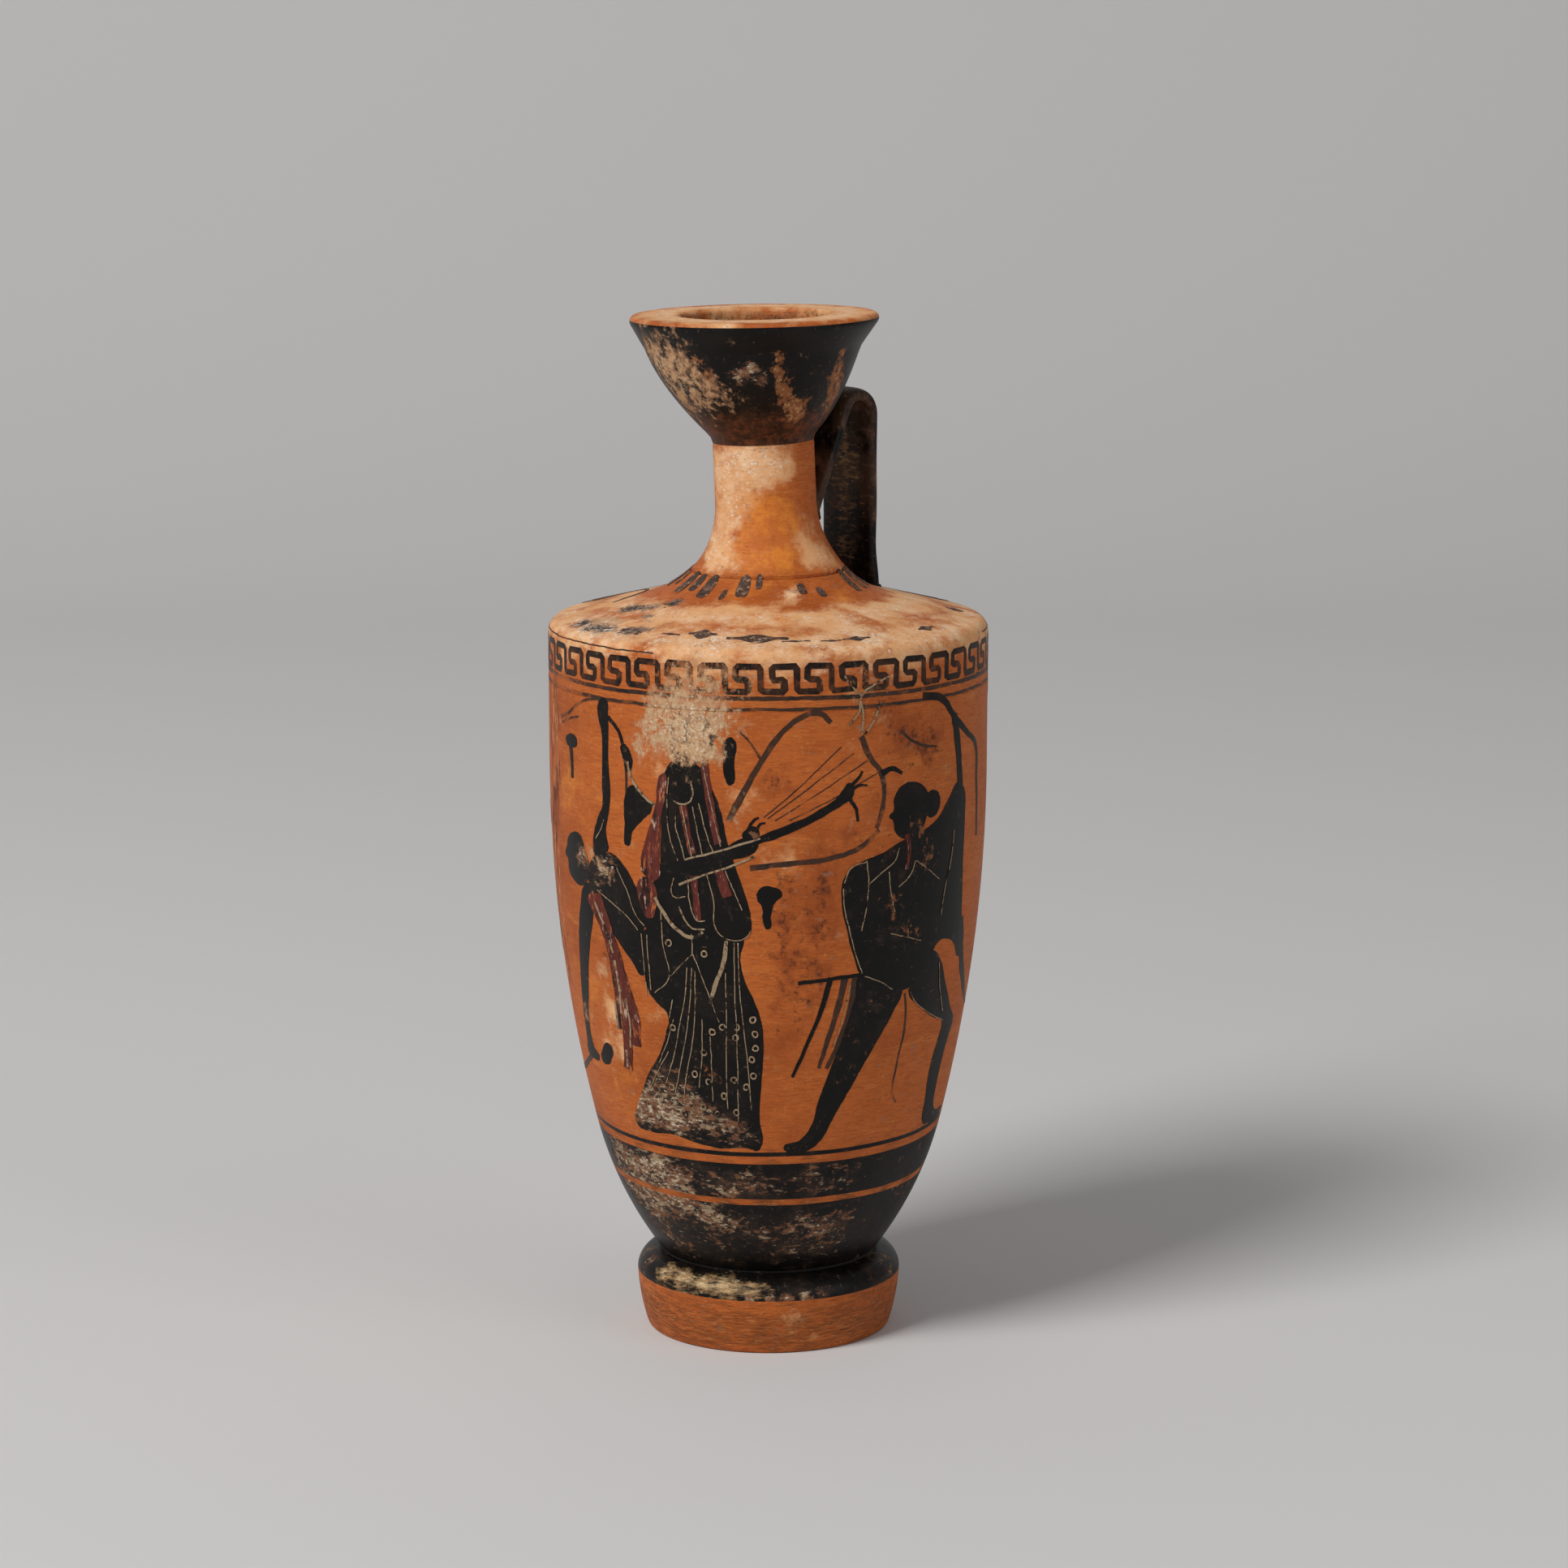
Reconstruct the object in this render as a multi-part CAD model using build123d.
from build123d import *
from math import asin, cos, degrees, hypot, radians, sin, sqrt, tan
import os

# A lekythos: a tall oil flask, thrown in sections that are luted together with clay slip.
# Frame: +Z up the axis of the body, origin on that axis at the plane that the foot stands on.
# Lengths are in millimetres and angles in degrees. Outlines are drawn as (radius, height).

# Driving dimensions: walls and joints
wall_thickness = 5.0
luting_thickness = 0.8

# Driving dimensions: foot
foot_height = 23.0
foot_ledge = 7.2
foot_side_height = 22.4
foot_side_bulge = 0.5
foot_base_inset = 3.2
foot_top_rounding = 6.2
foot_base_rounding = 1.2
resting_ring_width = 8.0
recess_depth = 5.0

# Driving dimensions: body, from its base up
body_radius = 64.0
heel_height = 39.5
heel_radius = 110.0
taper_height = 106.7
taper_radius = 444.0
cylinder_height = 24.2
floor_thickness = 7.0

# Driving dimensions: shoulder
skirt_height = 13.2
shoulder_edge_radius = 4.0
shoulder_slope = 14.0
cove_radius = 28.0
cove_joint_angle = 45.0

# Driving dimensions: neck
neck_radius = 14.7
neck_shaft_height = 16.9
neck_lean = 2.2

# Driving dimensions: mouth
mouth_collar_height = 2.8
mouth_collar_flare = 1.5
bowl_height = 24.3
bowl_radius = 31.3
bowl_bulge = 1.4
lip_flare_height = 7.3
lip_radius = 36.0
lip_thickness = 2.2
lip_rounding = 1.6
lip_width = 14.5
lip_inner_rounding = 1.5
funnel_bulge = 3.0

# Driving dimensions: handle
handle_azimuth = 48.0
handle_width = 19.5
handle_thickness = 4.5
handle_edge_rounding = 1.8
handle_arch_radius = 6.2
handle_rise = 14.4
handle_clearance = 0.6
handle_arm_angle = 25.0


def turned(edges):
    """Solid turned about the axis from a closed outline of (radius, height) edges."""
    return revolve(Plane.XZ * make_face(edges), Axis.Z)


def rounded(edges, corners, radii):
    """Face inside a closed outline, with the named corners rounded."""
    face = make_face(edges)
    for corner, radius in zip(corners, radii):
        nearest = face.vertices().sort_by_distance(corner)[0]
        face = fillet(nearest, radius)
    return face


def chain(*points):
    """Straight edges through the points in turn."""
    return [Line(start, end) for start, end in zip(points, points[1:])]


# Heights of the joints, from the foot up
body_base_z = foot_height + luting_thickness
heel_top_z = body_base_z + heel_height
taper_top_z = heel_top_z + taper_height
body_top_z = taper_top_z + cylinder_height
shoulder_base_z = body_top_z + luting_thickness
shoulder_edge_z = shoulder_base_z + skirt_height

# Body wall: a cylinder, then two arcs that run into each other smoothly down to the base
taper_turn = degrees(asin(taper_height / taper_radius))
taper_centre = (body_radius - taper_radius, taper_top_z)
heel_shift = taper_radius - heel_radius
heel_centre = (
    taper_centre[0] + heel_shift * cos(radians(taper_turn)),
    taper_centre[1] - heel_shift * sin(radians(taper_turn)),
)


def body_side(inset, base_z):
    """Edges of the body's wall from base_z up, inset from the outer surface."""
    radius = heel_radius - inset
    heel_turn = degrees(asin((heel_centre[1] - base_z) / radius))
    heel = CenterArc(heel_centre, radius, -heel_turn, heel_turn - taper_turn)
    taper = CenterArc(taper_centre, taper_radius - inset, -taper_turn, taper_turn)
    cylinder = Line(taper @ 1, (body_radius - inset, body_top_z))
    return [heel, taper, cylinder]


def make_body():
    outer = body_side(0, body_base_z)
    inner = body_side(wall_thickness, body_base_z + floor_thickness)
    rim = chain(outer[-1] @ 1, inner[-1] @ 1)
    floor = chain(
        inner[0] @ 0,
        (0, body_base_z + floor_thickness),
        (0, body_base_z),
        outer[0] @ 0,
    )
    return turned(outer + rim + inner + floor)


# Foot: a disc whose seat is as wide as the base of the body
seat_radius = (body_side(0, body_base_z)[0] @ 0).X
foot_radius = seat_radius + foot_ledge
foot_base_radius = foot_radius - foot_base_inset
recess_radius = foot_base_radius - resting_ring_width
# The rounded top edge takes no more than this share of the ledge
ledge_rounding_share = 0.9


def make_foot():
    base_corner = (foot_base_radius, 0)
    top_corner = (foot_radius, foot_side_height)
    side = SagittaArc(base_corner, top_corner, -foot_side_bulge)
    over = chain(top_corner, (seat_radius, foot_height), (0, foot_height), (0, recess_depth))
    under = chain(
        (0, recess_depth),
        (recess_radius - recess_depth, recess_depth),
        (recess_radius, 0),
        base_corner,
    )
    face = rounded(
        [side] + over + under,
        [base_corner, top_corner],
        [foot_base_rounding, min(foot_top_rounding, ledge_rounding_share * foot_ledge)],
    )
    return revolve(Plane.XZ * face, Axis.Z)


def ring(inner_radius, outer_radius, base_z):
    """Flat layer of luting slip."""
    low = base_z
    high = base_z + luting_thickness
    corners = [(inner_radius, low), (outer_radius, low), (outer_radius, high), (inner_radius, high)]
    return turned(chain(*corners, corners[0]))


# Shoulder and neck: one slope and one cove, drawn at any skin outside or inside the outer surface
slope_sine = sin(radians(shoulder_slope))
slope_cosine = cos(radians(shoulder_slope))
edge_centre = (body_radius - shoulder_edge_radius, shoulder_edge_z)
cove_centre_x = neck_radius + cove_radius
cove_centre = (
    cove_centre_x,
    shoulder_edge_z
    + (shoulder_edge_radius + cove_radius - slope_sine * (cove_centre_x - edge_centre[0])) / slope_cosine,
)
neck_seat_z = cove_centre[1] - cove_radius * sin(radians(cove_joint_angle))
neck_seat_radius = cove_centre_x - cove_radius * cos(radians(cove_joint_angle))
lean_rise = neck_seat_radius * tan(radians(neck_lean))
neck_base_z = neck_seat_z + luting_thickness + lean_rise
neck_top_z = cove_centre[1] + neck_shaft_height


def cove_angle(height, skin):
    return 180 + degrees(asin((cove_centre[1] - height) / (cove_radius - skin)))


def cove(skin, start_angle, end_angle):
    return CenterArc(cove_centre, cove_radius - skin, start_angle, end_angle - start_angle)


def shoulder_top(skin):
    """Slope and lower cove of the shoulder, from its edge to the seat of the neck."""
    reach = shoulder_edge_radius + skin
    slope_start = (edge_centre[0] + slope_sine * reach, edge_centre[1] + slope_cosine * reach)
    root = cove(skin, 270 - shoulder_slope, cove_angle(neck_seat_z, skin))
    return [Line(slope_start, root @ 0), root]


def neck_side(skin, base_z):
    """Upper cove and shaft of the neck."""
    root = cove(skin, cove_angle(base_z, skin), 180)
    return [root, Line(root @ 1, (neck_radius + skin, neck_top_z))]


def leaned(shape):
    """The shape with the neck's lean, about the middle of the neck's base."""
    return shape.rotate(Axis((0, 0, neck_base_z), (0, 1, 0)), -neck_lean)


def make_shoulder():
    outer_radius = body_radius
    inner_radius = body_radius - wall_thickness
    edge = CenterArc(edge_centre, shoulder_edge_radius, 0, 90 - shoulder_slope)
    outer = shoulder_top(0)
    inner = shoulder_top(-wall_thickness)
    inner_run = inner_radius - (inner[0] @ 1).X
    inner_corner = (inner_radius, (inner[0] @ 1).Y - inner_run * tan(radians(shoulder_slope)))
    inner_slope = Line(inner_corner, inner[0] @ 1)
    skirt = chain(
        inner_corner,
        (inner_radius, shoulder_base_z),
        (outer_radius, shoulder_base_z),
        (outer_radius, shoulder_edge_z),
    )
    seat = chain(outer[1] @ 1, inner[1] @ 1)
    return turned(skirt + [edge] + outer + seat + [inner[1], inner_slope])


def make_neck():
    outer = neck_side(0, neck_base_z)
    inner = neck_side(-wall_thickness, neck_base_z)
    top = chain(outer[1] @ 1, inner[1] @ 1)
    base = chain(inner[0] @ 0, outer[0] @ 0)
    return leaned(turned(outer + top + inner + base))


def make_neck_luting():
    """Wedge of slip on the shoulder's seat, cut off along the leaning base of the neck."""
    blank_top = neck_base_z + lean_rise + luting_thickness
    outer = cove(0, cove_angle(neck_seat_z, 0), cove_angle(blank_top, 0))
    inner_start = cove_angle(neck_seat_z, -wall_thickness)
    inner_end = cove_angle(blank_top, -wall_thickness)
    inner = cove(-wall_thickness, inner_start, inner_end)
    blank = turned([outer, inner] + chain(outer @ 1, inner @ 1) + chain(inner @ 0, outer @ 0))
    tilt = radians(neck_lean)
    neck_base = Plane(origin=(0, 0, neck_base_z), z_dir=(-sin(tilt), 0, cos(tilt)))
    return split(blank, bisect_by=neck_base, keep=Keep.BOTTOM)


# Mouth: a cup that grows out of the neck, with a flat lip and a funnel down to the bore
neck_bore_radius = neck_radius - wall_thickness
mouth_base_z = neck_top_z + luting_thickness
bowl_base_z = mouth_base_z + mouth_collar_height
bowl_top_z = bowl_base_z + bowl_height
lip_base_z = bowl_top_z + lip_flare_height
lip_top_z = lip_base_z + lip_thickness
bowl_base_radius = neck_radius + mouth_collar_flare
lip_inner_radius = lip_radius - lip_width


def make_mouth():
    bowl_base = (bowl_base_radius, bowl_base_z)
    bowl_top = (bowl_radius, bowl_top_z)
    lip_corner = (lip_radius, lip_top_z)
    lip_inner_corner = (lip_inner_radius, lip_top_z)
    funnel_base = (neck_bore_radius, mouth_base_z)
    collar = chain(funnel_base, (neck_radius, mouth_base_z), bowl_base)
    bowl = SagittaArc(bowl_base, bowl_top, -bowl_bulge)
    lip = chain(bowl_top, (lip_radius, lip_base_z), lip_corner, lip_inner_corner)
    funnel = SagittaArc(lip_inner_corner, funnel_base, funnel_bulge)
    face = rounded(
        collar + [bowl] + lip + [funnel],
        [lip_corner, lip_inner_corner],
        [lip_rounding, lip_inner_rounding],
    )
    return leaned(revolve(Plane.XZ * face, Axis.Z))


# Handle: a strap that springs from the neck, arches beside the mouth and drops to the shoulder
arch_outer_radius = handle_arch_radius + handle_thickness / 2
arch_centre_z = neck_top_z + handle_rise - arch_outer_radius
bowl_chord = (bowl_radius - bowl_base_radius, bowl_height)
bowl_chord_length = hypot(*bowl_chord)
bowl_arc_radius = (bowl_chord_length**2 / 4 + bowl_bulge**2) / (2 * bowl_bulge)
bowl_arc_depth = (bowl_arc_radius - bowl_bulge) / bowl_chord_length
bowl_arc_centre = (
    (bowl_base_radius + bowl_radius) / 2 - bowl_arc_depth * bowl_chord[1],
    (bowl_base_z + bowl_top_z) / 2 + bowl_arc_depth * bowl_chord[0],
)
arch_reach = bowl_arc_radius + arch_outer_radius + handle_clearance
arch_centre_x = bowl_arc_centre[0] + sqrt(arch_reach**2 - (arch_centre_z - bowl_arc_centre[1]) ** 2)
# The arm is run on into the bore, half-way to the axis, before it is cut to the neck's surface
arm_end_x = neck_bore_radius / 2
neck_core_base_z = neck_seat_z - lean_rise


def make_strap():
    """The strap run on into the neck and the shoulder, before its ends are cut to their surfaces."""
    arch_centre = (arch_centre_x, arch_centre_z)
    arch = CenterArc(arch_centre, handle_arch_radius, 0, 180 - handle_arm_angle)
    limb = Line((arch_centre_x + handle_arch_radius, shoulder_base_z), arch @ 0)
    arm_start = arch @ 1
    arm_run = arm_start.X - arm_end_x
    arm_end = (arm_end_x, arm_start.Y - arm_run / tan(radians(handle_arm_angle)))
    path = Plane.XZ * Wire([limb, arch, Line(arm_start, arm_end)])
    start = Plane(origin=path @ 0, x_dir=(0, 1, 0), z_dir=(0, 0, 1))
    section = start * RectangleRounded(handle_width, handle_thickness, handle_edge_rounding)
    return sweep(section, path).rotate(Axis.Z, handle_azimuth)


def neck_core(skin):
    """The neck filled to its axis, grown by the skin."""
    side = neck_side(skin, neck_core_base_z)
    return leaned(turned(side + chain(side[1] @ 1, (0, neck_top_z), (0, neck_core_base_z), side[0] @ 0)))


def shoulder_core(skin):
    """The shoulder filled to its axis, grown by the skin."""
    top = shoulder_top(skin)
    slope_start = top[0] @ 0
    below = chain(
        top[1] @ 1,
        (0, neck_seat_z),
        (0, shoulder_base_z),
        (slope_start.X, shoulder_base_z),
        slope_start,
    )
    return turned(top + below)


def make_handle_pieces():
    """The strap and the two pads of slip under its ends."""
    strap = make_strap()
    bare_neck = neck_core(0)
    bare_shoulder = shoulder_core(0)
    slipped_neck = neck_core(luting_thickness)
    slipped_shoulder = shoulder_core(luting_thickness)
    handle = strap - slipped_neck - slipped_shoulder
    upper_pad = (strap & slipped_neck) - bare_neck
    lower_pad = (strap & slipped_shoulder) - bare_shoulder
    return handle, upper_pad, lower_pad


handle, handle_upper_luting, handle_lower_luting = make_handle_pieces()

pieces = {
    "foot": make_foot(),
    "foot_luting": ring(0, seat_radius, foot_height),
    "body": make_body(),
    "shoulder_luting": ring(body_radius - wall_thickness, body_radius, body_top_z),
    "shoulder": make_shoulder(),
    "neck_luting": make_neck_luting(),
    "neck": make_neck(),
    "mouth_luting": leaned(ring(neck_bore_radius, neck_radius, neck_top_z)),
    "mouth": make_mouth(),
    "handle": handle,
    "handle_upper_luting": handle_upper_luting,
    "handle_lower_luting": handle_lower_luting,
}

os.makedirs("parts", exist_ok=True)
for node, piece in pieces.items():
    export_step(piece, f"parts/{node}.step")
    print(node, len(piece.solids()), round(piece.volume, 1))

print("joint heights", [round(z, 1) for z in (foot_height, body_top_z, neck_seat_z, neck_top_z, lip_top_z)])
print("seat radius", round(seat_radius, 1), "foot radius", round(foot_radius, 1))
print("handle reach", round(arch_centre_x + arch_outer_radius, 1))
print("bore radius", round(neck_bore_radius, 2), "length", neck_shaft_height)
